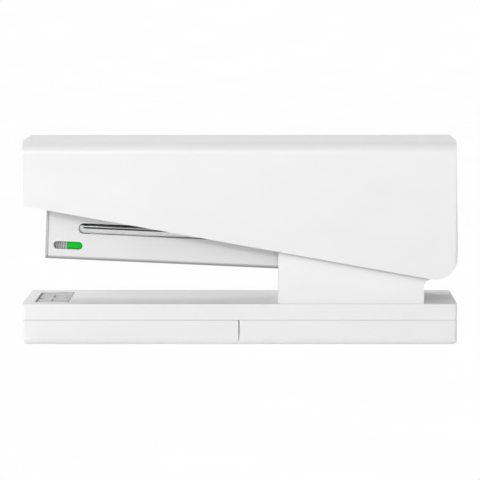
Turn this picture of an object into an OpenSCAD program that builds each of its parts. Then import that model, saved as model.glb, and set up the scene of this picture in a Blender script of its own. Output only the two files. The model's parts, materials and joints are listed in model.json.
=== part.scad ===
// Hand-operated desk stapler: a flat base, a magazine that rises to its nose and a deep lever
// cover, all hinged on one cross pin. +X points to the back, +Z up; the origin is the centre
// of the footprint on the desk. All sizes are in millimetres and all angles in degrees.

/* [Overall size] */
// Length of the base and of the cover
body_len = 150; // [146:1:154]
// Width of the base and of the cover
body_w = 35.4; // [35.2:0.1:37]
// Height of the cover top above the desk
body_h = 70.9; // [66:0.1:76]

/* [Base] */
// Height of the flat deck above the desk
deck_z = 14.6; // [14.4:0.1:14.8]
// Height of the parting line between the deck and the lower halves
parting_z = 9.1; // [8.9:0.05:9.3]
// Travel of the spare staple drawer
drawer_travel = 58; // [50:1:60]
// Front end of the pedestal, measured along the base
pedestal_x0 = 13.4; // [10:0.2:18]
// Radius of the concave sweep at the back of the pedestal
sweep_r = 2.6; // [2:0.1:3]

/* [Cover] */
// Wall thickness of the cover
cover_wall = 1.8; // [1.6:0.1:2]
// Radius along the two long top edges
cover_top_r = 4.8; // [4:0.2:6]
// Radius of the lower back corner
cover_corner_r = 7.7; // [7.4:0.1:8.2]
// Lean of the two ends of the cover towards its top
cover_draft = 1; // [0:0.1:1.2]
// Radius of the upright corners
upright_r = 1.2; // [0.8:0.1:1.6]
// How much shorter the cover is than the base at each end
cover_inset = 0; // [0:0.1:0.4]
// Fall of the lower edge of the cover towards the hinge
cover_slope = 10.25; // [10:0.05:10.5]

/* [Angles] */
// Rise of the magazine towards its nose at rest
mag_tilt = 2.6; // [2.4:0.1:2.8]
// Swing of the magazine from rest to the anvil
jaw_travel = 6.4; // [6.2:0.1:6.4]
// Swing of the cover, on the magazine, that drives a staple
press_travel = 3.6; // [3.5:0.1:3.6]

/* [Magazine] */
// Height of the capsule window in each side
window_h = 2.7; // [2.4:0.1:2.8]
// Length of the capsule window
window_len = 10.1; // [9:0.1:11]
// Height of the long slot in each side
slot_h = 3.7; // [3:0.1:3.8]
// Length of the long slot
slot_len = 62.3; // [50:0.1:70]
// Travel of the staple pusher from nearly empty to full
pusher_travel = 46; // [40:1:46]
// Number of staples left in the magazine
staple_count = 6; // [3:1:6]

/* [Hinge] */
// Height of the hinge pin above the desk
pivot_z = 31.1; // [30.9:0.1:31.3]
// Radius of the hinge pin
pin_r = 2; // [1.8:0.1:2.2]

/* [Hidden] */
$fn = 64;

// Colours
shell_grey = [0.90, 0.91, 0.92];
magazine_grey = [0.84, 0.85, 0.86];
steel = [0.70, 0.71, 0.73];
bright_steel = [0.82, 0.83, 0.85];
dark_steel = [0.38, 0.39, 0.41];
rubber_grey = [0.20, 0.20, 0.21];
flag_green = [0.08, 0.72, 0.22];

// Clearances
eps = 0.01;
cut = 1;
reach = 30;
run_fit = 0.05;
slip = 0.2;

// Outline of the whole object
half_len = body_len / 2;
half_w = body_w / 2;
wall = 1.8;
inner_len = half_len - wall;
inner_w = half_w - wall;
cover_half_len = half_len - cover_inset;
cover_in_w = half_w - cover_wall;
back_edge_lift = 0.8;
pin_inset = 8.2;
pivot_x = half_len - pin_inset;
cover_low_z = pivot_z - 8;
corner_x = cover_half_len - cover_corner_r;
corner_z = cover_low_z + cover_corner_r;

// Base, from the desk up
shell_z = 0.3;
shadow_gap = 0.1;
shadow_depth = 0.5;
floor_z = 2.1;
deck_under = deck_z - wall;
frame_t = 2;
frame_z = deck_under - frame_t;
frame_half_w = 8.8;
frame_head_half_w = 11.8;
frame_head_len = 16.4;
frame_end_gap = [2.6, 12];
pad_depth = 0.7;
pad_half_w = 9.5;
pad_end = 16;
pad_corner_r = 3;
long_edge_r = 2.8;
end_edge_r = 1.8;

// Base screws, through the rear cover into the deck
base_screw_x = [8, half_len - 7];
base_screw_y = 11.8;
base_screw_r = 1.2;
screw_head_r = 2.2;
screw_head_h = 1.5;
screw_seat_z = 2.5;
deck_post_r = 2.8;
cover_post_r = 3.2;
screw_clear_r = 1.4;
screw_bite = 0.5;

// Spare staple drawer and the rails that carry it
seam_gap = 0.3;
tray_half_w = 10.6;
tray_wall = 1.2;
rail_y = [12, 13];
rail_lip_y = 14.3;
rail_z = 5;
rail_t = 1.2;
rail_x = [4 - half_len, -1.2];
ledge_z = rail_z + rail_t + slip;
ledge_t = 1.4;
stop_len = 1.5;
stop_low = 3.4;
stop_gap = 0.1;
lug_len = 3;

// Pedestal
pedestal_half_w = cover_in_w - 0.5;
pedestal_x1 = pivot_x - 3.1;
pedestal_top = pivot_z + 5.6;
channel_half_w = 10;
channel_floor = deck_z + 2.8;
bracket_bay_x = 45;
bracket_bay_half_w = 12.3;
bay_floor = deck_z + 1.5;
knuckle_r = 5.6;
boss_pocket_r = 6.2;
back_wall = 1.6;
back_wall_drop = 8.7;
sweep_drop = 10.75;
sweep_top_drop = 4;
pedestal_screw_x = [pedestal_x0 + 3.7, 42];
pedestal_screw_y = (channel_half_w + pedestal_half_w) / 2;
pedestal_screw_r = 1.25;
pedestal_screw_len = 9.8;

// Hinge stack, from the middle outwards
chan_in = 6.5;
chan_out = 7.3;
cover_ear_in = 8.5;
cover_ear_out = 9.7;
bracket_in = 10.7;
bracket_out = 12.2;
boss_in = 14.1;
pin_half_len = cover_in_w + 0.9;
ear_r = 5;
sleeve_r = 3.2;
washer_r = 3.6;
boss_r = 5.5;
bracket_x = [47.5, pedestal_x1 - 2];
bracket_t = 1.5;
bracket_heel = 6.5;
bracket_lean = 4;
bracket_waist = [3, 4];
bracket_throat = 6;
rivet_x = [51, 57.5];
rivet_r = 1.5;
rivet_head_r = 2.8;
rivet_head_h = 1;

// Magazine, in its own frame: origin on the pin, x along the magazine, z square to it
nose_x = 15.7 - body_len;
plate_t = 1;
plate_corner_r = 1.4;
mag_front = nose_x + plate_t;
mag_back = -24;
mag_floor = -7.74;
mag_half_w = 9.5;
housing_in = 8.3;
housing_floor_t = 1;
housing_edge_r = 1.5;
nose_opening_half_w = 6.7;
housing_top_front = 11;
housing_top_back = 7;
chan_floor = mag_floor + housing_floor_t;
chan_t = chan_out - chan_in;
chan_top = 4.2;
bead_r = 0.33;
bead_z = chan_top - bead_r;
bead_sink = 0.1;
groove_h = 0.45;
groove_d = 0.35;
bead_back = -32;
bead_setback = 1.9;
chan_back = -10;
chan_floor_back = -12;
chan_eye_r = ear_r + 0.2;
core_half_w = 5.6;
core_t = 0.8;
core_floor = chan_floor + chan_t;
core_top = -0.3;
bed_x = nose_x + 2.5;
core_back = -28;
window_x = nose_x + 2.8;
window_z = -2.8;
slot_x = nose_x + 11.3;
slot_z = 3.3;
bead_front = slot_x + bead_setback;
lug_slot_z = [-4.6, -1.2];
lug_slot_gap = 0.4;
mag_rivet_x = [nose_x + 24, -60];
mag_rivet_r = 1;
rivet_cone_h = 0.7;
mag_rivet_len = core_floor + core_t - mag_floor;
tab_z = [-3.5, 0.5];

// Staples and pusher
staple_pitch = 0.8;
wire_t = 0.5;
staple_half_w = 6.35;
staple_top = core_top + 0.06 + wire_t;
leg_bottom = core_floor + 0.04;
glue_groove = 0.1;
glue_depth = 0.15;
strip_max = 6;
pusher_x = bed_x + strip_max * staple_pitch + 0.15;
pusher_len = 10;
pusher_top = 1.8;
pusher_play = 0.15;
lug_slot_end = pusher_x + pusher_len + pusher_travel + 1;
rod_r = 1;
rod_z = -2.65;
rod_x = pusher_x + 5;
rod_block_x = [-36, -30];
flag_out = 8.15;
pusher_bore_r = rod_r + 0.08;

// Anvil, in the frame of the closed magazine
closed_tilt = mag_tilt - jaw_travel;
anvil_gap = 0.3;
anvil_fit = 0.15;
anvil_x = [nose_x - 4.4, nose_x + 7.1];
anvil_half_w = 12.5;
pocket_in = 1.2;
pocket_out = 6.9;
pocket_half_len = 1.1;
pocket_depth = 0.6;
notch_r = 1.1;
anvil_rivet_r = 0.9;
anvil_head_r = 1.5;
anvil_head_h = 0.6;

// Cover frame, in a frame of its own: the web runs at a constant height over the pin
frame_slope = 5.2;
web_top = 14;
web_t = 1.2;
flange_low = 8;
flange_back = -20;
ear_back = 3.4;
ear_low = 1.8;
cover_frame_front = nose_x + 1.9;
cover_screw_x = [nose_x + 32, -34];
cover_screw_r = 1.3;
cover_boss_r = 3.3;
cover_boss_sink = 0.5;
rib_x = [-58, -36, -14, 8];
rib_t = 1;
rib_depth = 1.8;
rib_setback = 3;
cover_screw_tip = 21;

// Driver, in the frame it has half way through the stroke
blade_t = 0.6;
blade_half_w = 6.2;
blade_x = nose_x + 1.8;
half_lift = -blade_x * sin(press_travel / 2);
blade_tip = 0.75 - half_lift;
blade_top = 22;
tab_low = 12;
tab_gap = 0.3;
driver_rivet_z = 18;
driver_rivet_y = 3;
driver_rivet_r = 1;
driver_head_r = 1.6;
driver_head_h = 0.8;

// Springs
lift_x = 27.5;
lift_r = 3.2;
lift_wire_r = 0.4;
lift_turns = 3.5;
spigot_r = lift_r - lift_wire_r - 0.7;
spigot_h = 2;
lift_top = pivot_z + (pivot_x - lift_x) * sin(mag_tilt) + mag_floor - 0.8;
pusher_coil_r = 1.65;
pusher_wire_r = 0.25;
pusher_turns = 24;
torsion_r = 4.2;
torsion_wire_r = 0.4;
torsion_turns = 5;
torsion_half_w = 3.5;
torsion_a = [120, 200 + 360 * torsion_turns];
torsion_upper = [[-17, 11.6], [-9, 8.4]];
torsion_lower = [-10.5, -3.9];

// ---- Helpers ----

function unit(v) = v / norm(v);

// Moves a shape drawn around the pin to its place, with its nose raised by tilt
module at_pivot(tilt) {
    translate([pivot_x, 0, pivot_z]) rotate([0, tilt, 0]) children();
}

// Box between two opposite corners
module box(low, high) {
    translate(low) cube(high - low);
}

module rect(low, high) {
    translate(low) square(high - low);
}

// Extrudes a profile drawn in length and height across the width
module across(y0, y1) {
    translate([0, y1, 0]) rotate([90, 0, 0]) linear_extrude(y1 - y0) children();
}

// Extrudes a profile drawn in width and height along the length
module along(x0, x1) {
    translate([x0, 0, 0]) rotate([90, 0, 90]) linear_extrude(x1 - x0) children();
}

module both_sides() {
    children();
    mirror([0, 1, 0]) children();
}

// Round bar across the width, centred on the local origin
module cross_bar(r, y0, y1) {
    translate([0, y1, 0]) rotate([90, 0, 0]) cylinder(r = r, h = y1 - y0);
}

// Flat ring across the width
module cross_ring(r_out, r_in, y0, y1) {
    difference() {
        cross_bar(r_out, y0, y1);
        cross_bar(r_in, y0 - cut, y1 + cut);
    }
}

// Rectangle with four round corners
module round_rect(low, high, r) {
    rect([low[0] + r, low[1]], [high[0] - r, high[1]]);
    rect([low[0], low[1] + r], [high[0], high[1] - r]);
    for (x = [low[0] + r, high[0] - r], y = [low[1] + r, high[1] - r])
        translate([x, y]) circle(r);
}

// Capsule outline, its left end at x0, centred on height z
module capsule(x0, z, len, h) {
    rect([x0 + h / 2, z - h / 2], [x0 + len - h / 2, z + h / 2]);
    for (x = [x0 + h / 2, x0 + len - h / 2])
        translate([x, z]) circle(h / 2);
}

// Upright block with the outline of the base
module footprint(z0, z1) {
    translate([0, 0, z0])
        linear_extrude(z1 - z0)
            round_rect([-half_len, -half_w], [half_len, half_w], upright_r);
}

// Screw with a pan head: the head sits below z = 0 and the shank points up
module screw(r, len) {
    translate([0, 0, -screw_head_h]) cylinder(r = screw_head_r, h = screw_head_h);
    cylinder(r = r, h = len);
}

// Round wire swept along a path; the path never runs parallel to the axis
module wire(path, r, axis, sides = 6) {
    last = len(path) - 1;
    points = [for (i = [0:last])
        let (t = unit(path[min(i + 1, last)] - path[max(i - 1, 0)]))
        let (u = unit(cross(t, axis)))
        let (v = cross(u, t))
        for (k = [0:sides - 1])
            path[i] + r * (cos(360 * k / sides) * u + sin(360 * k / sides) * v)];
    walls = [for (i = [0:last - 1], k = [0:sides - 1])
        let (a = i * sides + k)
        let (b = i * sides + (k + 1) % sides)
        for (side = [[a, b, a + sides], [b, b + sides, a + sides]]) side];
    start = [for (k = [sides - 1:-1:0]) k];
    end = [for (k = [0:sides - 1]) last * sides + k];
    polyhedron(points, concat(walls, [start, end]));
}

// ---- Base ----

// Hanging rails for the drawer, with a stop near the front of each
module drawer_rail() {
    box([rail_x[0], rail_y[0], rail_z], [rail_x[1], rail_y[1], deck_under + eps]);
    box([rail_x[0], rail_y[0], rail_z], [rail_x[1], rail_lip_y, rail_z + rail_t]);
    stop_x = -seam_gap - lug_len - drawer_travel - stop_gap;
    box([stop_x - stop_len, rail_y[1], stop_low], [stop_x, rail_lip_y, rail_z + eps]);
}

module at_base_screws() {
    for (x = base_screw_x, y = [-base_screw_y, base_screw_y])
        translate([x, y, 0]) children();
}

module at_pedestal_screws() {
    for (x = pedestal_screw_x, y = [-pedestal_screw_y, pedestal_screw_y])
        translate([x, y, 0]) children();
}

module anvil_outline(grow) {
    at_pivot(closed_tilt)
        box([anvil_x[0] - grow, -anvil_half_w - grow, -reach],
            [anvil_x[1] + grow, anvil_half_w + grow, 0]);
}

module base_deck() {
    color(shell_grey) difference() {
        union() {
            difference() {
                footprint(parting_z, deck_z);
                box([-inner_len, -inner_w, parting_z - cut], [inner_len, inner_w, deck_under]);
            }
            both_sides() drawer_rail();
            at_base_screws() translate([0, 0, parting_z])
                cylinder(r = deck_post_r, h = deck_under - parting_z + eps);
        }
        intersection() {
            anvil_outline(anvil_fit);
            box([-half_len, -half_w, deck_under - eps], [0, half_w, deck_z + cut]);
        }
        at_base_screws() cylinder(r = base_screw_r, h = deck_under + screw_bite + slip);
        at_pedestal_screws() translate([0, 0, deck_under - cut])
            cylinder(r = screw_clear_r, h = wall + 2 * cut);
        for (x = rivet_x)
            translate([x, 0, deck_under - cut]) cylinder(r = rivet_r, h = wall + 2 * cut);
    }
}

// Steel strip under the deck that ties the anvil to the hinge bracket, wider under the anvil
module base_frame() {
    front = frame_end_gap[0] - half_len;
    color(steel) difference() {
        union() {
            box([front, -frame_half_w, frame_z],
                [half_len - frame_end_gap[1], frame_half_w, deck_under]);
            box([front, -frame_head_half_w, frame_z],
                [front + frame_head_len, frame_head_half_w, deck_under]);
        }
        for (x = rivet_x)
            translate([x, 0, frame_z - cut]) cylinder(r = rivet_r, h = frame_t + 2 * cut);
        at_anvil_rivets() cylinder(r = anvil_rivet_r, h = deck_z);
    }
}

// Place along the base of a point of the closed magazine's floor
function on_anvil(x) = pivot_x + x * cos(closed_tilt) + mag_floor * sin(closed_tilt);

module at_anvil_rivets() {
    for (x = [on_anvil(anvil_x[0]) + anvil_rivet_r, on_anvil(anvil_x[1]) - anvil_rivet_r])
        translate([x, 0, 0]) children();
}

// Half of a clinching pocket: a trough that turns one staple leg inwards
module pocket() {
    trough_r = (pow(pocket_out - pocket_in, 2) / 4 + pow(pocket_depth, 2)) / (2 * pocket_depth);
    at_pivot(closed_tilt)
        translate([blade_x, (pocket_in + pocket_out) / 2, mag_floor - anvil_gap + trough_r - pocket_depth])
            rotate([0, 90, 0])
                translate([0, 0, -pocket_half_len]) cylinder(r = trough_r, h = 2 * pocket_half_len);
}

// Coined steel anvil, its face parallel to the closed magazine
module anvil_plate() {
    color(bright_steel) difference() {
        intersection() {
            anvil_outline(0);
            box([-half_len, -half_w, deck_under], [0, half_w, deck_z + cut]);
            at_pivot(closed_tilt)
                box([anvil_x[0] - cut, -half_w, -reach], [anvil_x[1] + cut, half_w, mag_floor - anvil_gap]);
        }
        both_sides() pocket();
        at_anvil_rivets() cylinder(r = notch_r, h = deck_z + cut);
    }
}

module anvil_rivets() {
    color(dark_steel) at_anvil_rivets() {
        translate([0, 0, frame_z]) cylinder(r = anvil_rivet_r, h = frame_t + anvil_head_h);
        translate([0, 0, frame_z - anvil_head_h]) cylinder(r = anvil_head_r, h = anvil_head_h);
    }
}

// Side view of the pedestal: a block, the concave sweep behind it and a round knuckle
module pedestal_profile() {
    rect([pedestal_x0, deck_z], [pedestal_x1, pedestal_top]);
    translate([pivot_x, pivot_z]) circle(knuckle_r);
    sweep_z = pivot_z - sweep_drop;
    difference() {
        rect([pedestal_x1 - cut, sweep_z], [pedestal_x1 + sweep_r, pivot_z - sweep_top_drop]);
        translate([pedestal_x1 + sweep_r, sweep_z]) circle(sweep_r);
    }
}

module pedestal() {
    color(shell_grey) difference() {
        union() {
            difference() {
                across(-pedestal_half_w, pedestal_half_w) pedestal_profile();
                box([pedestal_x0 - cut, -channel_half_w, channel_floor],
                    [bracket_bay_x + cut, channel_half_w, pedestal_top + cut]);
                box([bracket_bay_x, -bracket_bay_half_w, bay_floor],
                    [half_len, bracket_bay_half_w, pedestal_top + cut]);
            }
            box([pedestal_x1 - back_wall, -bracket_bay_half_w - eps, bay_floor - eps],
                [pedestal_x1, bracket_bay_half_w + eps, pivot_z - back_wall_drop]);
            translate([lift_x, 0, channel_floor - eps]) cylinder(r = spigot_r, h = spigot_h);
        }
        at_pivot(0) both_sides() cross_bar(boss_pocket_r, boss_in - slip, half_w);
        at_pivot(0) cross_bar(pin_r + run_fit, -half_w, half_w);
        at_pedestal_screws() cylinder(r = pedestal_screw_r, h = deck_under + pedestal_screw_len + slip);
        for (x = rivet_x)
            translate([x, 0, 0]) cylinder(r = rivet_r, h = channel_floor + cut);
    }
}

module pedestal_screws() {
    color(dark_steel) at_pedestal_screws() translate([0, 0, deck_under])
        screw(pedestal_screw_r, pedestal_screw_len);
}

// Side view of one bracket ear, leaning back to the pin
module bracket_profile() {
    translate([pivot_x, pivot_z]) circle(ear_r);
    polygon([
        [bracket_x[0], bay_floor],
        [bracket_x[1], bay_floor],
        [bracket_x[1], bay_floor + bracket_heel],
        [pivot_x + bracket_waist[0], pivot_z - bracket_waist[1]],
        [pivot_x, pivot_z],
        [pivot_x - bracket_waist[0], pivot_z + bracket_waist[1]],
        [bracket_x[0] + bracket_lean, pivot_z - bracket_throat]
    ]);
}

module hinge_bracket() {
    color(steel) difference() {
        union() {
            both_sides() across(bracket_in, bracket_out) bracket_profile();
            box([bracket_x[0], -bracket_out, bay_floor],
                [bracket_x[1], bracket_out, bay_floor + bracket_t]);
        }
        at_pivot(0) cross_bar(pin_r, -half_w, half_w);
        for (x = rivet_x)
            translate([x, 0, bay_floor - cut]) cylinder(r = rivet_r, h = bracket_t + 2 * cut);
    }
}

module bracket_rivets() {
    color(dark_steel) for (x = rivet_x) translate([x, 0, 0]) {
        translate([0, 0, frame_z]) cylinder(r = rivet_r, h = bay_floor + bracket_t - frame_z);
        translate([0, 0, frame_z - rivet_head_h]) cylinder(r = rivet_head_r, h = rivet_head_h);
        translate([0, 0, bay_floor + bracket_t]) cylinder(r = rivet_head_r, h = rivet_head_h);
    }
}

module hinge_pin() {
    color(bright_steel) at_pivot(0) cross_bar(pin_r, -pin_half_len, pin_half_len);
}

module hinge_washers() {
    color(bright_steel) at_pivot(0)
        both_sides() cross_ring(washer_r, pin_r, cover_ear_out + run_fit, bracket_in);
}

module lift_spring() {
    height = lift_top - channel_floor - 2 * lift_wire_r;
    path = [for (a = [0:22.5:360 * lift_turns])
        [lift_r * cos(a), lift_r * sin(a), height * a / (360 * lift_turns)]];
    color(bright_steel) translate([lift_x, 0, channel_floor + lift_wire_r + eps])
        wire(path, lift_wire_r, [0, 0, 1]);
}

// Lower half shell from x0 to x1, rounded along its bottom edges
module lower_block(x0, x1, top) {
    intersection() {
        footprint(shell_z, top);
        along(x0, x1) {
            rect([-half_w, shell_z + long_edge_r], [half_w, top]);
            rect([long_edge_r - half_w, shell_z], [half_w - long_edge_r, top]);
            for (y = [long_edge_r - half_w, half_w - long_edge_r])
                translate([y, shell_z + long_edge_r]) circle(long_edge_r);
        }
        across(-half_w, half_w) {
            rect([-half_len, shell_z + end_edge_r], [half_len, top]);
            rect([end_edge_r - half_len, shell_z], [half_len - end_edge_r, top]);
            for (x = [end_edge_r - half_len, half_len - end_edge_r])
                translate([x, shell_z + end_edge_r]) circle(end_edge_r);
        }
    }
}

module rear_base_cover() {
    color(shell_grey) difference() {
        union() {
            difference() {
                lower_block(0, half_len, parting_z);
                box([wall, -inner_w, floor_z], [inner_len, inner_w, parting_z + cut]);
            }
            at_base_screws() translate([0, 0, floor_z - eps])
                cylinder(r = cover_post_r, h = parting_z - floor_z + eps);
        }
        // Thin shadow gap under the deck
        difference() {
            box([-cut, -half_w - cut, parting_z - shadow_gap],
                [half_len + cut, half_w + cut, parting_z + cut]);
            box([-2 * cut, shadow_depth - half_w, 0],
                [half_len - shadow_depth, half_w - shadow_depth, parting_z + 2 * cut]);
        }
        at_base_screws() cylinder(r = screw_clear_r, h = parting_z + cut);
        at_base_screws() cylinder(r = screw_head_r + slip, h = screw_seat_z);
        foot_pad(0, [pad_end, half_len - pad_end]);
    }
}

module base_screws() {
    color(dark_steel) at_base_screws() translate([0, 0, screw_seat_z])
        screw(base_screw_r, deck_under - screw_seat_z + screw_bite);
}

// Rubber pad with round corners, let into the underside
module foot_pad(z0, x) {
    translate([0, 0, z0])
        linear_extrude(shell_z + pad_depth - z0)
            round_rect([x[0], -pad_half_w], [x[1], pad_half_w], pad_corner_r);
}

module rear_foot_pad() {
    color(rubber_grey) foot_pad(0, [pad_end, half_len - pad_end]);
}

// ---- Drawer ----

module staple_drawer() {
    x0 = -half_len;
    x1 = -seam_gap;
    top = parting_z - shadow_gap;
    color(shell_grey) difference() {
        union() {
            difference() {
                lower_block(x0, x1, top);
                box([x0 + wall, -inner_w, floor_z], [x1 + cut, inner_w, top + cut]);
            }
            both_sides() {
                box([x0 + wall - eps, tray_half_w, floor_z - eps],
                    [x1, tray_half_w + tray_wall, top - slip]);
                box([x0 + wall - eps, rail_y[1] + slip, ledge_z],
                    [x1, inner_w + eps, ledge_z + ledge_t]);
                box([x1 - lug_len, rail_y[1] + slip, floor_z - eps], [x1, inner_w + eps, rail_z - slip]);
            }
            box([x1 - wall, -tray_half_w - eps, floor_z - eps], [x1, tray_half_w + eps, top - slip]);
        }
        foot_pad(0, [pad_end - half_len, -pad_end]);
    }
}

module front_foot_pad() {
    color(rubber_grey) foot_pad(0, [pad_end - half_len, -pad_end]);
}

// ---- Magazine ----

// Cross-section of the moulded housing: an open-topped trough
module housing_section() {
    difference() {
        union() {
            rect([-mag_half_w, mag_floor + housing_edge_r], [mag_half_w, housing_top_front]);
            rect([housing_edge_r - mag_half_w, mag_floor],
                [mag_half_w - housing_edge_r, housing_top_front]);
            for (y = [housing_edge_r - mag_half_w, mag_half_w - housing_edge_r])
                translate([y, mag_floor + housing_edge_r]) circle(housing_edge_r);
        }
        rect([-housing_in, chan_floor], [housing_in, housing_top_front + cut]);
    }
}

module at_mag_rivets() {
    for (x = mag_rivet_x)
        translate([x, 0, mag_floor]) children();
}

module magazine_rivet() {
    cylinder(r1 = mag_rivet_r + rivet_cone_h, r2 = mag_rivet_r, h = rivet_cone_h);
    cylinder(r = mag_rivet_r, h = mag_rivet_len);
}

module magazine_housing() {
    color(magazine_grey) at_pivot(mag_tilt) difference() {
        intersection() {
            along(mag_front, mag_back) housing_section();
            across(-mag_half_w - cut, mag_half_w + cut)
                polygon([
                    [mag_front, mag_floor],
                    [mag_back, mag_floor],
                    [mag_back, housing_top_back],
                    [mag_front, housing_top_front]
                ]);
        }
        across(-half_w, half_w) capsule(window_x, window_z, window_len, window_h);
        across(-half_w, half_w) capsule(slot_x, slot_z, slot_len, slot_h);
        box([mag_front - cut, -nose_opening_half_w, mag_floor - cut],
            [bed_x, nose_opening_half_w, chan_floor + cut]);
        at_mag_rivets() magazine_rivet();
    }
}

// Steel face at the nose; the side walls of the channel are peened into its slots
module nose_plate() {
    color(bright_steel) at_pivot(mag_tilt) difference() {
        along(nose_x, mag_front)
            round_rect([-mag_half_w, mag_floor], [mag_half_w, housing_top_front], plate_corner_r);
        both_sides() box([nose_x - cut, chan_in, tab_z[0]], [mag_front + cut, chan_out, tab_z[1]]);
    }
}

// Side view of the channel walls, rounded over the pin
module channel_profile() {
    circle(chan_eye_r);
    polygon([
        [mag_front, chan_floor],
        [chan_back, chan_floor],
        [0, -pin_r * 2],
        [0, chan_top],
        [mag_front, chan_top]
    ]);
    rect([nose_x, tab_z[0]], [mag_front + eps, tab_z[1]]);
}

module staple_channel() {
    color(steel) at_pivot(mag_tilt) difference() {
        union() {
            both_sides() across(chan_in, chan_out) channel_profile();
            box([bed_x, -chan_in - eps, chan_floor], [chan_floor_back, chan_in + eps, core_floor]);
            both_sides() translate([bead_front, chan_out - bead_sink, bead_z]) {
                rotate([0, 90, 0]) cylinder(r = bead_r, h = bead_back - bead_front);
                sphere(bead_r);
            }
        }
        both_sides() box([bead_front - bead_r, chan_out - groove_d, bead_z - bead_r - groove_h],
            [bead_back, chan_out + cut, bead_z - bead_r]);
        both_sides() across(chan_in - cut, chan_out + cut)
            rect([bed_x + lug_slot_gap, lug_slot_z[0]], [lug_slot_end, lug_slot_z[1]]);
        cross_bar(pin_r + run_fit, -half_w, half_w);
        at_mag_rivets() cylinder(r = mag_rivet_r, h = mag_rivet_len + cut);
    }
}

// Inner rail that the staples straddle
module staple_core() {
    color(bright_steel) at_pivot(mag_tilt) difference() {
        box([bed_x, -core_half_w, core_floor], [core_back, core_half_w, core_top]);
        box([bed_x - cut, core_t - core_half_w, core_floor + core_t],
            [core_back + cut, core_half_w - core_t, core_top + cut]);
        at_mag_rivets() cylinder(r = mag_rivet_r, h = mag_rivet_len + cut);
    }
}

module magazine_rivets() {
    color(dark_steel) at_pivot(mag_tilt) at_mag_rivets() magazine_rivet();
}

module hinge_sleeve() {
    color(steel) at_pivot(mag_tilt) cross_ring(sleeve_r, pin_r + run_fit, -chan_in, chan_in);
}

module hinge_bushes() {
    color(rubber_grey) at_pivot(mag_tilt)
        both_sides() cross_ring(washer_r, pin_r + run_fit, chan_out, cover_ear_in - run_fit);
}

module pusher_rod() {
    color(bright_steel) at_pivot(mag_tilt) translate([rod_x, 0, rod_z]) rotate([0, 90, 0])
        cylinder(r = rod_r, h = rod_block_x[1] - rod_x);
}

module rod_block() {
    color(steel) at_pivot(mag_tilt) difference() {
        box([rod_block_x[0], core_t - core_half_w, core_floor + core_t],
            [rod_block_x[1], core_half_w - core_t, core_top - slip]);
        translate([rod_block_x[0] - cut, 0, rod_z]) rotate([0, 90, 0]) cylinder(r = rod_r, h = reach);
    }
}

module pusher_spring() {
    start = pusher_x + pusher_len + pusher_wire_r + eps;
    run = rod_block_x[0] - pusher_wire_r - eps - start;
    path = [for (a = [0:30:360 * pusher_turns])
        [start + run * a / (360 * pusher_turns), pusher_coil_r * cos(a), rod_z + pusher_coil_r * sin(a)]];
    color(bright_steel) at_pivot(mag_tilt) wire(path, pusher_wire_r, [1, 0, 0], 5);
}

// A glued strip of staples with a fine groove between neighbours
module staple_strip() {
    len = staple_count * staple_pitch;
    color(bright_steel) at_pivot(mag_tilt) translate([bed_x + (strip_max - staple_count) * staple_pitch, 0, 0])
        difference() {
            box([0, -staple_half_w, leg_bottom], [len, staple_half_w, staple_top]);
            box([-cut, wire_t - staple_half_w, leg_bottom - cut],
                [len + cut, staple_half_w - wire_t, staple_top - wire_t]);
            for (i = [1:staple_count - 1]) translate([i * staple_pitch - glue_groove / 2, 0, 0]) {
                both_sides() box([0, staple_half_w - glue_depth, leg_bottom - cut],
                    [glue_groove, staple_half_w + cut, staple_top + cut]);
                box([0, -staple_half_w - cut, staple_top - glue_depth],
                    [glue_groove, staple_half_w + cut, staple_top + cut]);
            }
        }
}

// ---- Pusher ----

module staple_pusher() {
    low = core_floor + core_t + pusher_play;
    color(flag_green) at_pivot(mag_tilt) translate([pusher_x, 0, 0]) difference() {
        union() {
            box([0, slip + core_t - core_half_w, low],
                [pusher_len, core_half_w - core_t - slip, pusher_top]);
            box([0, slip - chan_in, core_top + pusher_play], [pusher_len, chan_in - slip, pusher_top]);
            both_sides() box([0, core_half_w + pusher_play, leg_bottom + 2 * pusher_play],
                [pusher_len, chan_in - slip, core_top + 2 * pusher_play]);
            both_sides() box([0, chan_in - slip - eps, lug_slot_z[0] + slip],
                [pusher_len, flag_out, lug_slot_z[1] - slip]);
        }
        translate([-cut, 0, rod_z]) rotate([0, 90, 0])
            cylinder(r = pusher_bore_r, h = pusher_len + 2 * cut);
    }
}

// ---- Cover ----

// Reach of the ends of the cover at height z
function cover_end(z) = cover_half_len - (z - corner_z) * tan(cover_draft);

// Side view of the cover: a flat top, ends with a little draft and a lower edge that falls to
// the hinge
module cover_profile() {
    tangent = [corner_x - cover_corner_r * sin(cover_slope), corner_z - cover_corner_r * cos(cover_slope)];
    front_z = tangent[1] + (tangent[0] + cover_half_len) * tan(cover_slope);
    polygon([
        [-cover_end(front_z), front_z],
        tangent,
        [corner_x, corner_z],
        [cover_half_len, corner_z],
        [cover_end(body_h), body_h],
        [-cover_end(body_h), body_h]
    ]);
    translate([corner_x, corner_z]) circle(cover_corner_r);
}

// Cross-section with two round top corners
module arch(half, top, r) {
    rect([-half, 0], [half, top - r]);
    rect([r - half, 0], [half - r, top]);
    for (y = [r - half, half - r])
        translate([y, top - r]) circle(r);
}

module cover_outer() {
    intersection() {
        across(-half_w - cut, half_w + cut) cover_profile();
        along(-half_len, half_len) arch(half_w, body_h, cover_top_r);
        linear_extrude(body_h + cut)
            round_rect([-cover_half_len, -half_w], [cover_half_len, half_w], upright_r);
    }
}

module cover_inner() {
    along(cover_wall - cover_half_len, cover_half_len - cover_wall)
        arch(cover_in_w, body_h - cover_wall, cover_top_r - cover_wall);
    box([cover_half_len - cover_wall - cut, -cover_in_w, 0],
        [half_len + cut, cover_in_w, pivot_z + back_edge_lift]);
}

module at_cover_screws() {
    at_pivot(mag_tilt + frame_slope)
        for (x = cover_screw_x)
            translate([x, 0, 0]) children();
}

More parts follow.
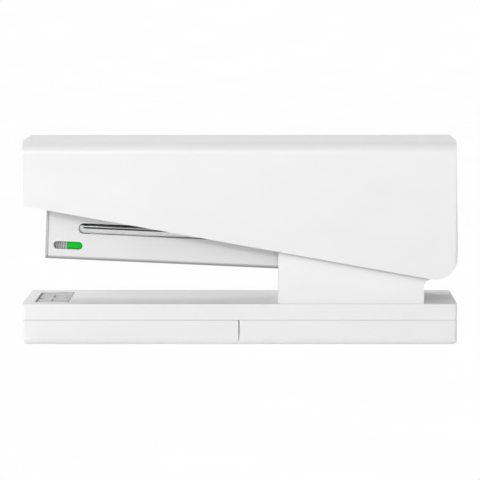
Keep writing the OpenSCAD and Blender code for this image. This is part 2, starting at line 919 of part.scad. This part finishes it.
// Stiffening ribs inside the side walls, ahead of the pedestal
module cover_ribs() {
    intersection() {
        translate([0, 0, rib_setback]) cover_outer();
        both_sides() for (x = rib_x)
            box([x, cover_in_w - rib_depth, 0],
                [x + rib_t, cover_in_w + eps, body_h - cover_wall + eps]);
    }
}

module top_cover() {
    color(shell_grey) difference() {
        union() {
            difference() {
                cover_outer();
                cover_inner();
            }
            intersection() {
                translate([0, 0, -cover_boss_sink]) cover_outer();
                at_cover_screws() translate([0, 0, web_top]) cylinder(r = cover_boss_r, h = body_h);
            }
            cover_ribs();
            at_pivot(0) both_sides() cross_bar(boss_r, boss_in, cover_in_w + cover_boss_sink);
        }
        at_cover_screws() translate([0, 0, web_top - cut])
            cylinder(r = cover_screw_r, h = cover_screw_tip - web_top + 2 * cut);
        at_pivot(0) cross_bar(pin_r + run_fit, -pin_half_len - slip, pin_half_len + slip);
    }
}

// Side view of the pressed steel lever under the cover
module cover_frame_profile() {
    circle(ear_r);
    polygon([
        [cover_frame_front, web_top],
        [cover_frame_front, flange_low],
        [flange_back, flange_low],
        [-ear_back, -ear_low],
        [ear_back, -ear_low],
        [ear_back, web_top]
    ]);
}

module at_driver() {
    at_pivot(mag_tilt + press_travel / 2) children();
}

module at_driver_rivets() {
    at_driver()
        for (y = [-driver_rivet_y, driver_rivet_y])
            translate([blade_x - blade_t / 2, y, driver_rivet_z]) rotate([0, 90, 0]) children();
}

module cover_frame() {
    color(steel) difference() {
        union() {
            at_pivot(mag_tilt + frame_slope) {
                both_sides() across(cover_ear_in, cover_ear_out) cover_frame_profile();
                box([cover_frame_front, -cover_ear_out, web_top - web_t],
                    [ear_back, cover_ear_out, web_top]);
            }
            at_driver() box([blade_x + blade_t / 2, -blade_half_w, tab_low],
                [blade_x + blade_t / 2 + web_t, blade_half_w, blade_top - tab_gap]);
        }
        at_pivot(0) cross_bar(pin_r + run_fit, -half_w, half_w);
        at_cover_screws() cylinder(r = cover_screw_r, h = web_top + cut);
        at_driver_rivets() cylinder(r = driver_rivet_r, h = blade_t + web_t + cut);
    }
}

module cover_screws() {
    color(dark_steel) at_cover_screws() translate([0, 0, web_top - web_t])
        screw(cover_screw_r, cover_screw_tip - web_top + web_t);
}

module driver_blade() {
    color(bright_steel) difference() {
        at_driver() box([blade_x - blade_t / 2, -blade_half_w, blade_tip],
            [blade_x + blade_t / 2, blade_half_w, blade_top]);
        at_driver_rivets() translate([0, 0, -cut]) cylinder(r = driver_rivet_r, h = blade_t + 2 * cut);
    }
}

module driver_rivets() {
    color(dark_steel) at_driver_rivets() {
        cylinder(r = driver_rivet_r, h = blade_t + web_t);
        translate([0, 0, -driver_head_h]) cylinder(r = driver_head_r, h = driver_head_h);
        translate([0, 0, blade_t + web_t]) cylinder(r = driver_head_r, h = driver_head_h);
    }
}

// Torsion spring round the hinge sleeve: one leg under the web, one towards the channel floor
module return_spring() {
    span = torsion_a[1] - torsion_a[0];
    coil = [for (a = [torsion_a[0]:20:torsion_a[1]])
        let (y = torsion_half_w * (2 * (a - torsion_a[0]) / span - 1))
        [torsion_r * cos(a), y, torsion_r * sin(a)]];
    upper_leg = [for (p = torsion_upper) [p[0], -torsion_half_w, p[1]]];
    lower_leg = [[torsion_lower[0], torsion_half_w, torsion_lower[1]]];
    color(bright_steel) at_pivot(mag_tilt + frame_slope)
        wire(concat(upper_leg, coil, lower_leg), torsion_wire_r, [0, 1, 0]);
}

base_deck();
base_frame();
anvil_plate();
anvil_rivets();
pedestal();
pedestal_screws();
hinge_bracket();
bracket_rivets();
hinge_pin();
hinge_washers();
lift_spring();
rear_base_cover();
base_screws();
rear_foot_pad();
staple_drawer();
front_foot_pad();
magazine_housing();
nose_plate();
staple_channel();
staple_core();
magazine_rivets();
hinge_sleeve();
hinge_bushes();
pusher_rod();
rod_block();
pusher_spring();
staple_strip();
staple_pusher();
top_cover();
cover_frame();
cover_screws();
driver_blade();
driver_rivets();
return_spring();
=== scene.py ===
"""Looks of a hand-operated desk stapler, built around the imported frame."""
import json
import math

import bmesh
import bpy
from mathutils import Matrix, Vector


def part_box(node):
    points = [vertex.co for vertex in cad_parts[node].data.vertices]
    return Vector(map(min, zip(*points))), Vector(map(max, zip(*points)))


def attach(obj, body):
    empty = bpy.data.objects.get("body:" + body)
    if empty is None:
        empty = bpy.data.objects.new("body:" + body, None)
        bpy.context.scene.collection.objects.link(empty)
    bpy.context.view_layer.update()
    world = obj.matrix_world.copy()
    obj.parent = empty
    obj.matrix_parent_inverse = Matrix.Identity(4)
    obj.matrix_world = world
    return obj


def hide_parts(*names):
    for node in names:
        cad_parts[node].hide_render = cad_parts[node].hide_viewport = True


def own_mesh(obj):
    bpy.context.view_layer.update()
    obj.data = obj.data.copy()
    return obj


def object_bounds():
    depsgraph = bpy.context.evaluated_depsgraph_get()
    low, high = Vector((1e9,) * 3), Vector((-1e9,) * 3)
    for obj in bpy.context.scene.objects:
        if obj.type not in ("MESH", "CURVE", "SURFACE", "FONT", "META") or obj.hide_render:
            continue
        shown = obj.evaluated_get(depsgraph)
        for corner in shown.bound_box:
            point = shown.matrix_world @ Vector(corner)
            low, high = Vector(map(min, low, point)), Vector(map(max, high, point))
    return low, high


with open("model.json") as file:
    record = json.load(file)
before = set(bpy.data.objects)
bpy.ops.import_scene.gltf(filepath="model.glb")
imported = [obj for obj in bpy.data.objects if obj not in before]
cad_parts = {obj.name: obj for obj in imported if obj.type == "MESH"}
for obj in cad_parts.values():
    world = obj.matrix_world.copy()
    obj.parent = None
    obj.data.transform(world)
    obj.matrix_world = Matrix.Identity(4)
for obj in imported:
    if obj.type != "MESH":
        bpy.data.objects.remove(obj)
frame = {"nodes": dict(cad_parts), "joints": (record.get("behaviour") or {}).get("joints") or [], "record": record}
CAD_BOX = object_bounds()
MM = 0.001

NODES = frame["nodes"]
JOINTS = {joint["name"]: joint for joint in frame["joints"]}
PIVOT = Vector(JOINTS["jaw_close"]["pos_m"])
ALONG = Vector(JOINTS["pusher_slide"]["axis"]).normalized()
UP = ALONG.cross(Vector((0, 1, 0))) * -1


# ---------------------------------------------------------------- shader helpers


class Shader:
    """A node material under construction."""

    def __init__(self, name):
        self.material = bpy.data.materials.new(name)
        self.material.use_nodes = True
        self.tree = self.material.node_tree
        self.surface = self.tree.nodes["Principled BSDF"]
        self.place = self.add("ShaderNodeTexCoord").outputs["Object"]

    def add(self, kind, **settings):
        node = self.tree.nodes.new(kind)
        for key, value in settings.items():
            setattr(node, key, value)
        return node

    def plug(self, value, socket):
        """Connects an output, or sets a plain value."""
        if isinstance(value, bpy.types.NodeSocket):
            self.tree.links.new(value, socket)
        else:
            socket.default_value = value

    def height(self):
        split = self.add("ShaderNodeSeparateXYZ")
        self.plug(self.place, split.inputs[0])
        return split.outputs["Z"]

    def stretched(self, scale):
        node = self.add("ShaderNodeMapping")
        self.plug(self.place, node.inputs["Vector"])
        node.inputs["Scale"].default_value = scale
        return node.outputs["Vector"]

    def noise(self, scale, detail=3.0, roughness=0.5, vector=None):
        node = self.add("ShaderNodeTexNoise")
        self.plug(vector or self.place, node.inputs["Vector"])
        node.inputs["Scale"].default_value = scale
        node.inputs["Detail"].default_value = detail
        node.inputs["Roughness"].default_value = roughness
        return node.outputs["Fac"]

    def cells(self, scale, vector=None):
        node = self.add("ShaderNodeTexVoronoi", feature="SMOOTH_F1")
        self.plug(vector or self.place, node.inputs["Vector"])
        node.inputs["Scale"].default_value = scale
        return node.outputs["Distance"]

    def span(self, value, low, high, start=0.0, end=1.0):
        """Maps start..end of value to low..high, clamped."""
        node = self.add("ShaderNodeMapRange")
        self.plug(value, node.inputs["Value"])
        node.inputs["From Min"].default_value = start
        node.inputs["From Max"].default_value = end
        node.inputs["To Min"].default_value = low
        node.inputs["To Max"].default_value = high
        return node.outputs["Result"]

    def maths(self, operation, first, second):
        node = self.add("ShaderNodeMath", operation=operation)
        self.plug(first, node.inputs[0])
        self.plug(second, node.inputs[1])
        return node.outputs[0]

    def blend(self, share, first, second):
        node = self.add("ShaderNodeMix", data_type="RGBA")
        self.plug(share, node.inputs["Factor"])
        self.plug(first, node.inputs["A"])
        self.plug(second, node.inputs["B"])
        return node.outputs["Result"]

    def edges(self, radius):
        """1 on edges sharper than radius, 0 on flat faces."""
        rounded = self.add("ShaderNodeBevel", samples=4)
        rounded.inputs["Radius"].default_value = radius
        true = self.add("ShaderNodeNewGeometry")
        dot = self.add("ShaderNodeVectorMath", operation="DOT_PRODUCT")
        self.plug(rounded.outputs["Normal"], dot.inputs[0])
        self.plug(true.outputs["Normal"], dot.inputs[1])
        return self.span(dot.outputs["Value"], 1.0, 0.0, 0.80, 0.985)

    def openness(self, distance, closed=0.35):
        """1 in the open, towards 0 in corners closer than distance."""
        node = self.add("ShaderNodeAmbientOcclusion", samples=8)
        node.inputs["Distance"].default_value = distance
        return self.span(node.outputs["AO"], 0.0, 1.0, closed, 0.9)

    def facing_down(self):
        """1 on faces that look down, 0 on upright and upward faces."""
        split = self.add("ShaderNodeSeparateXYZ")
        self.plug(self.add("ShaderNodeNewGeometry").outputs["Normal"], split.inputs[0])
        return self.span(split.outputs["Z"], 1.0, 0.0, -0.6, -0.05)

    def bump(self, height, depth, strength):
        node = self.add("ShaderNodeBump")
        self.plug(height, node.inputs["Height"])
        node.inputs["Distance"].default_value = depth
        node.inputs["Strength"].default_value = strength
        return node.outputs["Normal"]

    def finish(self, **inputs):
        for name, value in inputs.items():
            self.plug(value, self.surface.inputs[name.replace("_", " ")])
        return self.material


def tint(colour, factor):
    return tuple(min(1.0, c * factor) for c in colour[:3]) + (1.0,)


# ---------------------------------------------------------------- materials


def moulded_plastic(name, colour, roughness, grain=0.35, under=1.0, nook=1.0, foot=None):
    """Spark-eroded mould texture, faint flow mottling and polished edges.

    Faces that look down take the share under of the colour, a painted shade. Where foot is given,
    nooks take the share nook, a painted shade, apart from a few millimetres above foot.
    """
    s = Shader(name)
    grain_height = s.cells(1 / (grain * MM))
    fine = s.noise(1 / (0.12 * MM), 2.0)
    flow = s.noise(1 / (14 * MM), 4.0, 0.6, s.stretched((0.5, 1, 1)))
    smudge = s.noise(1 / (5 * MM), 5.0, 0.65)
    rub = s.edges(0.6 * MM)
    body = s.blend(s.span(flow, 0, 1, 0.3, 0.7), tint(colour, 0.985), tint(colour, 1.012))
    wear_and_painted_shade = s.blend(s.maths("MULTIPLY", rub, 0.32), body, tint(colour, 1.05))
    # Painted shade: faces that look down darken to the share under of the colour.
    wear_and_painted_shade = s.blend(s.facing_down(), wear_and_painted_shade, tint(colour, under))
    # Painted shade: nooks darken to the share nook, but not within a few millimetres above foot.
    if foot is not None:
        clear = s.span(s.height(), 1.0, 0.0, foot + 4 * MM, foot + 9 * MM)
        open_air = s.maths("MAXIMUM", s.openness(6 * MM), clear)
        wear_and_painted_shade = s.blend(open_air, tint(colour, nook), wear_and_painted_shade)
    rough = s.maths("ADD", s.span(smudge, -0.05, 0.05, 0.3, 0.7), roughness)
    rough = s.maths("SUBTRACT", rough, s.maths("MULTIPLY", rub, 0.12))
    height = s.maths("ADD", s.maths("MULTIPLY", grain_height, 0.7), s.maths("MULTIPLY", fine, 0.3))
    return s.finish(
        Base_Color=wear_and_painted_shade,
        Roughness=rough,
        Specular_IOR_Level=0.75,
        Normal=s.bump(height, 0.012 * MM, 0.6),
    )


def gloss_plastic(name, colour):
    """Clear-toned moulded flag with a few fine scuffs and painted shade in its corners."""
    s = Shader(name)
    flow = s.noise(1 / (4 * MM), 3.0)
    scuff = s.noise(1 / (0.9 * MM), 6.0, 0.7, s.stretched((0.12, 1, 1)))
    body = s.blend(s.span(flow, 0, 1, 0.3, 0.7), tint(colour, 0.92), tint(colour, 1.08))
    # Painted shade: the flag darkens to 0.3 of its colour where other surfaces come within 0.9 mm.
    body = s.blend(s.openness(0.9 * MM), tint(colour, 0.3), body)
    return s.finish(
        Base_Color=body,
        Roughness=s.span(scuff, 0.3, 0.45, 0.35, 0.75),
        Specular_IOR_Level=0.12,
        Normal=s.bump(scuff, 0.006 * MM, 0.4),
    )


def steel(
    name, colour, roughness, brush=(0.04, 1, 1), depth=0.008, wear=0.5,
    metallic=1.0, nook=0.8, closed=0.35,
):
    """Rolled or plated steel with fine drawn lines, soft tarnish, bright rubbed edges and painted shade in grooves
    and corners.
    """
    s = Shader(name)
    lines = s.noise(1 / (0.22 * MM), 4.0, 0.6, s.stretched(brush))
    tarnish = s.noise(1 / (6 * MM), 5.0, 0.6)
    rub = s.edges(0.25 * MM)
    body = s.blend(s.span(tarnish, 0, 1, 0.35, 0.7), tint(colour, 0.86), tint(colour, 1.05))
    body = s.blend(s.maths("MULTIPLY", rub, wear), body, tint(colour, 1.3))
    # Painted shade: grooves, corners and the gaps between staples darken towards 0.06 of the colour.
    body = s.blend(s.openness(nook * MM, closed), tint(colour, 0.06), body)
    rough = s.maths("ADD", s.span(lines, -0.08, 0.1, 0.3, 0.7), roughness)
    rough = s.maths("ADD", rough, s.span(tarnish, -0.03, 0.06, 0.35, 0.7))
    return s.finish(
        Base_Color=body,
        Metallic=metallic,
        Roughness=rough,
        Normal=s.bump(lines, depth * MM, 0.5),
    )


def rubber(name, colour):
    """Matte rubber with a fine pebbled skin and a little dust."""
    s = Shader(name)
    pebble = s.cells(1 / (0.5 * MM))
    dust = s.noise(1 / (3 * MM), 6.0, 0.7)
    body = s.blend(s.span(dust, 0, 1, 0.45, 0.8), tint(colour, 0.9), tint(colour, 1.9))
    return s.finish(
        Base_Color=body,
        Roughness=s.span(dust, 0.72, 0.92, 0.3, 0.8),
        Normal=s.bump(pebble, 0.03 * MM, 0.7),
    )


def pale_floor(name):
    """Matte white sweep; the camera sees it as the even white of a light table."""
    s = Shader(name)
    mottle = s.span(s.noise(1 / (60 * MM), 4.0), 0, 1, 0.3, 0.7)
    s.finish(
        Base_Color=s.blend(mottle, (0.90, 0.90, 0.90, 1), (0.93, 0.93, 0.93, 1)),
        Roughness=0.9,
        Specular_IOR_Level=0.05,
        # Faint glow seen by every ray, a painted light that lights the stapler from below like a lamp.
        Emission_Color=(1, 1, 1, 1),
        Emission_Strength=0.13,
    )
    table = s.add("ShaderNodeEmission")
    s.plug(s.blend(mottle, (0.985, 0.985, 0.985, 1), (1, 1, 1, 1)), table.inputs["Color"])
    seen = s.add("ShaderNodeMixShader")
    s.plug(s.add("ShaderNodeLightPath").outputs["Is Camera Ray"], seen.inputs[0])
    s.plug(s.surface.outputs[0], seen.inputs[1])
    s.plug(table.outputs[0], seen.inputs[2])
    s.plug(seen.outputs[0], s.tree.nodes["Material Output"].inputs["Surface"])
    return s.material


def make_materials():
    """One material for each slot of the record, and one for the shell under the cover with painted shade in its
    nooks.
    """
    colour = {m["slot"]: tuple(m["base_color"][:3]) for m in frame["record"]["materials"]}
    return {
        "shell_plastic": moulded_plastic("shell_plastic", colour["shell_plastic"], 0.36),
        # Shell plastic, 3 % lighter, with painted shade in the nooks under the cover.
        "painted_shade_plastic": moulded_plastic(
            "painted_shade_plastic", tint(colour["shell_plastic"], 1.03), 0.36,
            nook=0.55, foot=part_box("pedestal")[0].z,
        ),
        # The magazine's faces that look down take 0.45 of its colour, a painted shade along its lower edge.
        "magazine_plastic": moulded_plastic(
            "magazine_plastic", tint(colour["magazine_plastic"], 0.975), 0.42, 0.25, under=0.45
        ),
        "flag_plastic": gloss_plastic("flag_plastic", colour["flag_plastic"]),
        "bush_plastic": moulded_plastic("bush_plastic", colour["bush_plastic"], 0.4, 0.2),
        "foot_rubber": rubber("foot_rubber", colour["foot_rubber"]),
        "sheet_steel": steel("sheet_steel", colour["sheet_steel"], 0.34),
        "plated_steel": steel("plated_steel", colour["plated_steel"], 0.5, (1, 1, 1), 0.004, 0.2),
        "satin_steel": steel(
            "satin_steel", tint(colour["satin_steel"], 0.85), 0.6, (1, 1, 1), 0.004, 0.2,
            metallic=0.35,
        ),
        "polished_steel": steel(
            "polished_steel", colour["polished_steel"], 0.24, (1, 0.06, 1), 0.004, closed=0.65
        ),
        "spring_steel": steel("spring_steel", colour["spring_steel"], 0.28, (1, 1, 1), 0.004, 0.2),
        "fastener_steel": steel(
            "fastener_steel", colour["fastener_steel"], 0.36, (1, 1, 1), 0.006, 0.4
        ),
        "staple_wire": steel(
            "staple_wire", tint(colour["staple_wire"], 1.19), 0.32, (1, 1, 0.08), 0.002, 0.3,
            metallic=0.1, nook=0.2,
        ),
    }


# ---------------------------------------------------------------- mesh helpers


def soften(node, width):
    """Rounds the sharp edges of a CAD node as it is shown, without changing its mesh."""
    piece = NODES[node]
    weld = piece.modifiers.new("weld", "WELD")
    weld.merge_threshold = 0.002 * MM
    flat = piece.modifiers.new("flat", "DECIMATE")
    flat.decimate_type = "DISSOLVE"
    flat.angle_limit = math.radians(0.4)
    bevel = piece.modifiers.new("bevel", "BEVEL")
    bevel.width = width * MM
    bevel.segments = 3
    bevel.limit_method = "ANGLE"
    bevel.angle_limit = math.radians(35)
    bevel.harden_normals = True
    bevel.miter_outer = "MITER_ARC"
    normals = piece.modifiers.new("normals", "WEIGHTED_NORMAL")
    normals.keep_sharp = False


def add_piece(name, mesh, material, body):
    """Links a mesh as a new piece that rides on a body."""
    piece = bpy.data.objects.new(name, mesh)
    bpy.context.scene.collection.objects.link(piece)
    mesh.materials.append(material)
    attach(piece, body)
    return piece


def tube(path, radius, sides=12):
    """Mesh of a round wire along a path, with domed ends."""
    mesh = bmesh.new()
    last = len(path) - 1
    rings = []
    side = None
    for i, point in enumerate(path):
        along = (path[min(i + 1, last)] - path[max(i - 1, 0)]).normalized()
        if side is None:
            side = along.orthogonal().normalized()
        side = (side - along * side.dot(along)).normalized()
        across = along.cross(side)
        angles = [2 * math.pi * k / sides for k in range(sides)]
        rings.append([
            mesh.verts.new(point + radius * (side * math.cos(a) + across * math.sin(a)))
            for a in angles
        ])
    for a, b in zip(rings, rings[1:]):
        for k in range(sides):
            n = (k + 1) % sides
            mesh.faces.new((a[k], a[n], b[n], b[k]))
    tips = [
        (rings[0], path[0] - (path[1] - path[0]).normalized() * radius * 0.5),
        (rings[-1], path[-1] + (path[-1] - path[-2]).normalized() * radius * 0.5),
    ]
    for ring, tip in tips:
        point = mesh.verts.new(tip)
        for k in range(sides):
            mesh.faces.new((ring[k], point, ring[(k + 1) % sides]))
    bmesh.ops.recalc_face_normals(mesh, faces=mesh.faces)
    for face in mesh.faces:
        face.smooth = True
    data = bpy.data.meshes.new("tube")
    mesh.to_mesh(data)
    mesh.free()
    return data


def helix(start, end, radius, turns, steps=28, closed=0.75):
    """Points of a coil spring between two points; its end turns lie flat."""
    axis = end - start
    height = axis.length
    axis = axis.normalized()
    side = Vector((0, 1, 0)) if abs(axis.y) < 0.9 else Vector((1, 0, 0))
    side = (side - axis * side.dot(axis)).normalized()
    other = axis.cross(side)
    count = int(turns * steps)
    points = []
    for i in range(count + 1):
        turn = i / steps
        rise = (turn - closed) / (turns - 2 * closed)
        rise = min(1.0, max(0.0, rise))
        rise = rise * rise * (3 - 2 * rise) * 0.3 + rise * 0.7
        angle = 2 * math.pi * turn
        round_wire = side * math.cos(angle) + other * math.sin(angle)
        points.append(start + axis * height * rise + radius * round_wire)
    return points


def half_width(node):
    """Half the reach of a node across the stapler."""
    low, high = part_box(node)
    return (high.y - low.y) / 2


def up_magazine(node):
    """Lowest and highest reach of a node square to the magazine, from the pin."""
    reach = [UP.dot(v.co - PIVOT) for v in NODES[node].data.vertices]
    return min(reach), max(reach)


def along_magazine(node):
    """Lowest and highest reach of a node along the magazine, from the pin."""
    reach = [ALONG.dot(v.co - PIVOT) for v in NODES[node].data.vertices]
    return min(reach), max(reach)


# ---------------------------------------------------------------- sub-parts


def dress_cad(materials):
    """Gives every CAD node the material of its slot (for the pedestal a copy with painted shade under the cover)
    and its edge rounding in millimetres.
    """
    slots = {entry["node"]: entry["material_slot"] for entry in frame["record"]["subparts"]}
    for node, piece in NODES.items():
        piece.data.materials.clear()
        # The pedestal takes the shell plastic with painted shade under the cover.
        look = "painted_shade_plastic" if node == "pedestal" else slots[node]
        piece.data.materials.append(materials[look])
    edge_widths = {
        "top_cover": 0.5,
        "base_deck": 0.22,
        "pedestal": 0.35,
        "rear_base_cover": 0.18,
        "staple_drawer": 0.18,
        "magazine_housing": 0.25,
        "nose_plate": 0.2,
        "anvil_plate": 0.15,
        "staple_pusher": 0.2,
        "staple_channel": 0.12,
        "staple_core": 0.12,
        "cover_frame": 0.25,
        "hinge_bracket": 0.25,
        "base_frame": 0.2,
        "driver_blade": 0.08,
        "rod_block": 0.2,
        "rear_foot_pad": 0.25,
        "front_foot_pad": 0.25,
        "hinge_pin": 0.3,
        "hinge_washers": 0.15,
        "hinge_bushes": 0.15,
        "hinge_sleeve": 0.15,
        "base_screws": 0.3,
        "pedestal_screws": 0.3,
        "cover_screws": 0.3,
        "bracket_rivets": 0.3,
        "driver_rivets": 0.25,
        "anvil_rivets": 0.15,
        "magazine_rivets": 0.1,
        "pusher_rod": 0.15,
    }
    for node, width in edge_widths.items():
        soften(node, width)


def lift_spring(materials):
    """Coil spring between the base and the magazine."""
    low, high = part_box("lift_spring")
    wire = 0.4 * MM
    middle = (low + high) / 2
    foot = Vector((middle.x, middle.y, low.z + wire))
    head = Vector((middle.x, middle.y, high.z - wire))
    radius = (high.y - low.y) / 2 - wire
    turns = 4.5
    mesh = tube(helix(foot, head, radius, turns), wire)
    piece = add_piece("lift_coil", mesh, materials["spring_steel"], "base")
    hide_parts("lift_spring")
    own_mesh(piece)


def pusher_spring(materials):
    """Long coil spring on the guide rod."""
    rod = NODES["pusher_rod"]
    front = along_magazine("staple_pusher")[1]
    back = along_magazine("rod_block")[0]
    rod_up = sum(UP.dot(v.co - PIVOT) for v in rod.data.vertices) / len(rod.data.vertices)
    wire, radius, turns = 0.25 * MM, 1.65 * MM, 26
    slack = 0.05 * MM
    start = PIVOT + ALONG * (front + slack + wire) + UP * rod_up
    end = PIVOT + ALONG * (back - wire) + UP * rod_up
    mesh = tube(helix(start, end, radius, turns, steps=20), wire, sides=8)
    piece = add_piece("pusher_coil", mesh, materials["spring_steel"], "magazine")
    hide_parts("pusher_spring")
    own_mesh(piece)


def staple_section(width, thick, corner=0.22):
    """Rounded rectangle as (along, out) pairs, half sizes width and thick."""
    count = 20
    points = []
    for k in range(count):
        a = 2 * math.pi * k / count
        c, d = math.cos(a), math.sin(a)
        points.append((
            width * math.copysign(abs(c) ** corner, c),
            thick * math.copysign(abs(d) ** corner, d),
        ))
    return points


def staple_path(half, foot, crown, bend, steps=6):
    """Middle line of one staple as (across, up, out_angle) from one tip to the other."""
    side = []
    for k in range(steps + 1):
        a = math.pi / 2 * k / steps
        side.append((half - bend + bend * math.cos(a), crown - bend + bend * math.sin(a), a))
    right = [(half, foot, 0.0), (half, (foot + crown) / 2, 0.0)] + side
    left = [(-y, z, math.pi - a) for y, z, a in reversed(right)]
    return right + left


def add_staple(mesh, place, section, path):
    """Sweeps the wire section of one staple; place is its middle along the magazine."""
    rings = []
    for y, z, a in path:
        middle = PIVOT + ALONG * place + UP * z + Vector((0, y, 0))
        out = Vector((0, 1, 0)) * math.cos(a) + UP * math.sin(a)
        rings.append([mesh.verts.new(middle + ALONG * u + out * v) for u, v in section])
    count = len(section)
    for a, b in zip(rings, rings[1:]):
        for k in range(count):
            n = (k + 1) % count
            mesh.faces.new((a[k], a[n], b[n], b[k]))
    for ring in (rings[0], rings[-1]):
        mesh.faces.new(ring)


def staples(materials):
    """Each staple of the strip on its own, where the plain strip stands."""
    front, back = along_magazine("staple_strip")
    foot, crown = up_magazine("staple_strip")
    half = half_width("staple_strip")
    pitch, thick, bend = 0.8 * MM, 0.25 * MM, 0.7 * MM
    count = round((back - front) / pitch)
    section = staple_section(0.43 * pitch, thick)
    path = staple_path(half - thick, foot, crown - thick, bend)
    mesh = bmesh.new()
    for i in range(count):
        add_staple(mesh, front + (i + 0.5) * pitch, section, path)
    bmesh.ops.recalc_face_normals(mesh, faces=mesh.faces)
    data = bpy.data.meshes.new("staples")
    mesh.to_mesh(data)
    mesh.free()
    piece = add_piece("staples", data, materials["staple_wire"], "magazine")
    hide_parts("staple_strip")


def return_spring(materials):
    """Torsion spring round the hinge sleeve, its legs under the cover and on the magazine."""
    lean = math.atan2(-ALONG.z, ALONG.x) + math.radians(5.2)
    along = Vector((math.cos(lean), 0, -math.sin(lean)))
    up = Vector((math.sin(lean), 0, math.cos(lean)))
    wire, radius, half_length = 0.4, 4.2, 3.5
    first, last, step = 120, 200 + 5 * 360, 12
    cover_leg = [(-17, -half_length, 11.6), (-9, -half_length, 8.4)]
    magazine_leg = [(-10.5, half_length, -3.9)]
    coil = []
    for degrees in range(first, last + 1, step):
        share = (degrees - first) / (last - first)
        a = math.radians(degrees)
        coil.append((radius * math.cos(a), half_length * (2 * share - 1), radius * math.sin(a)))
    path = [
        PIVOT + (along * x + Vector((0, y, 0)) + up * z) * MM
        for x, y, z in cover_leg + coil + magazine_leg
    ]
    mesh = tube(path, wire * MM)
    piece = add_piece("return_coil", mesh, materials["spring_steel"], "cover")
    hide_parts("return_spring")


def build_camera():
    """Long lens from the front, a little above the stapler and almost square to its side."""
    data = bpy.data.cameras.new("camera")
    camera = bpy.data.objects.new("camera", data)
    bpy.context.scene.collection.objects.link(camera)
    low, high = CAD_BOX
    base = Vector(((low.x + high.x) / 2, (low.y + high.y) / 2, low.z))
    stand = Vector((11.1, -767.5, 125.2)) * MM
    camera.location = base + stand
    pitch, yaw, roll = math.radians(6.717), math.radians(-0.828), math.radians(0.107)
    turn = Matrix.Rotation(-yaw, 4, "Z") @ Matrix.Rotation(math.pi / 2 - pitch, 4, "X")
    camera.rotation_euler = (turn @ Matrix.Rotation(-roll, 4, "Z")).to_euler()
    data.lens = 164.98
    data.sensor_width = 36
    data.clip_start = 0.01
    data.clip_end = 20
    bpy.context.scene.camera = camera


def build_stage():
    """Pale floor that sweeps up into a backdrop."""
    mesh = bmesh.new()
    floor_z = CAD_BOX[0].z
    half, radius, wall, steps = 4.0, 0.8, 2.0, 12
    front, back = -3.0, 2.5
    profile = [(front, 0.0), (back - radius, 0.0)]
    for k in range(1, steps + 1):
        a = math.pi / 2 * k / steps
        profile.append((back - radius + radius * math.sin(a), radius - radius * math.cos(a)))
    profile.append((back, wall))
    rows = [
        [mesh.verts.new((x, y, z + floor_z)) for x in (-half, half)]
        for y, z in profile
    ]
    for a, b in zip(rows, rows[1:]):
        mesh.faces.new((a[0], a[1], b[1], b[0])).smooth = True
    data = bpy.data.meshes.new("floor")
    mesh.to_mesh(data)
    mesh.free()
    floor = bpy.data.objects.new("floor", data)
    bpy.context.scene.collection.objects.link(floor)
    data.materials.append(pale_floor("floor"))


def area_light(name, place, target, size, power):
    """Rectangular lamp at place that looks at target; sizes in metres, power in watts."""
    data = bpy.data.lights.new(name, "AREA")
    data.shape = "RECTANGLE"
    data.size, data.size_y = size
    data.energy = power
    light = bpy.data.objects.new(name, data)
    bpy.context.scene.collection.objects.link(light)
    light.location = place
    light.rotation_euler = (Vector(target) - Vector(place)).to_track_quat("-Z", "Y").to_euler()
    return light


def build_light():
    """Even world light, soft boxes in front and two lamps behind that leave no reflection."""
    world = bpy.data.worlds.new("studio")
    bpy.context.scene.world = world
    world.use_nodes = True
    sky = world.node_tree.nodes["Background"]
    sky.inputs["Color"].default_value = (1, 1, 1, 1)
    sky.inputs["Strength"].default_value = 0.308
    body, deck = (0, 0, 0.04), (0, 0, 0.01)
    area_light("key_strip", (-0.05, -1.35, 0.51), (0, 0, 0.06), (1.0, 0.16), 4.4)
    area_light("left_softbox", (-1.4, -0.6, 0.7), body, (0.8, 0.8), 5.6)
    area_light("near_softbox", (-0.9, -1.0, 0.6), body, (0.8, 0.8), 3.8)
    area_light("high_softbox", (0.0, -1.0, 1.0), body, (1.4, 0.8), 1.0)
    for name, place, size, power in (
        ("back_softbox", (-0.3, 1.0, 1.0), (1.2, 0.8), 11.0),
        ("back_strip", (-0.2, 1.3, 0.4), (1.2, 0.3), 1.6),
    ):
        area_light(name, place, deck, size, power).visible_glossy = False
    bpy.context.scene.view_settings.view_transform = "Standard"


MATERIALS = make_materials()
dress_cad(MATERIALS)
lift_spring(MATERIALS)
pusher_spring(MATERIALS)
staples(MATERIALS)
return_spring(MATERIALS)
build_stage()
build_light()
build_camera()
